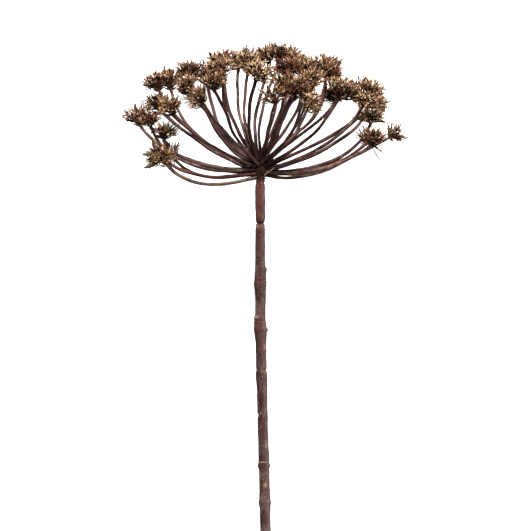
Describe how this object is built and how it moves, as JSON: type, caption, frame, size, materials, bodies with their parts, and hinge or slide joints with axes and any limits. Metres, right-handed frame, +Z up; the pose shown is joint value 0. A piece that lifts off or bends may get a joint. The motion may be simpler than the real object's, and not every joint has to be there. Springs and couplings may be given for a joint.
{
  "type": "dried wild carrot seed head",
  "caption": "Dried umbel of wild carrot on a length of cut stem, lying on its back: curved rays spring from one hub and each ends in a small bristling umbellet of ripe seeds.",
  "frame": {"origin": "middle of the bounding box's bottom face, on the surface that the cut stem and the far umbellets rest on", "axes": "+Y along the stem towards the head, rising by the lying angle; +Z up, which is the side that faces the viewer in a front view; +X across the head, to the right in that view"},
  "size_m": [0.1178, 0.2458, 0.0836],
  "materials": {
    "stem": "matte",
    "ray": "matte",
    "umbellet": "matte",
    "seeds": "matte"
  },
  "bodies": {
    "root": {"stem": "stem", "ray_01": "ray", "ray_02": "ray", "ray_03": "ray", "ray_04": "ray", "ray_05": "ray", "ray_06": "ray", "ray_07": "ray", "ray_08": "ray", "ray_09": "ray", "ray_10": "ray", "ray_11": "ray", "ray_12": "ray", "ray_13": "ray", "ray_14": "ray", "ray_15": "ray", "ray_16": "ray", "ray_17": "ray", "ray_18": "ray", "ray_19": "ray", "ray_20": "ray", "ray_21": "ray", "ray_22": "ray", "ray_23": "ray", "ray_24": "ray", "ray_25": "ray", "ray_26": "ray", "ray_27": "ray", "ray_28": "ray", "ray_29": "ray", "ray_30": "ray", "ray_31": "ray", "ray_32": "ray", "ray_33": "ray", "ray_34": "ray", "ray_35": "ray", "ray_36": "ray", "ray_37": "ray", "ray_38": "ray", "ray_39": "ray", "ray_40": "ray", "ray_41": "ray", "ray_42": "ray", "ray_43": "ray", "ray_44": "ray", "ray_45": "ray", "ray_46": "ray"}
  },
  "joints": []
}
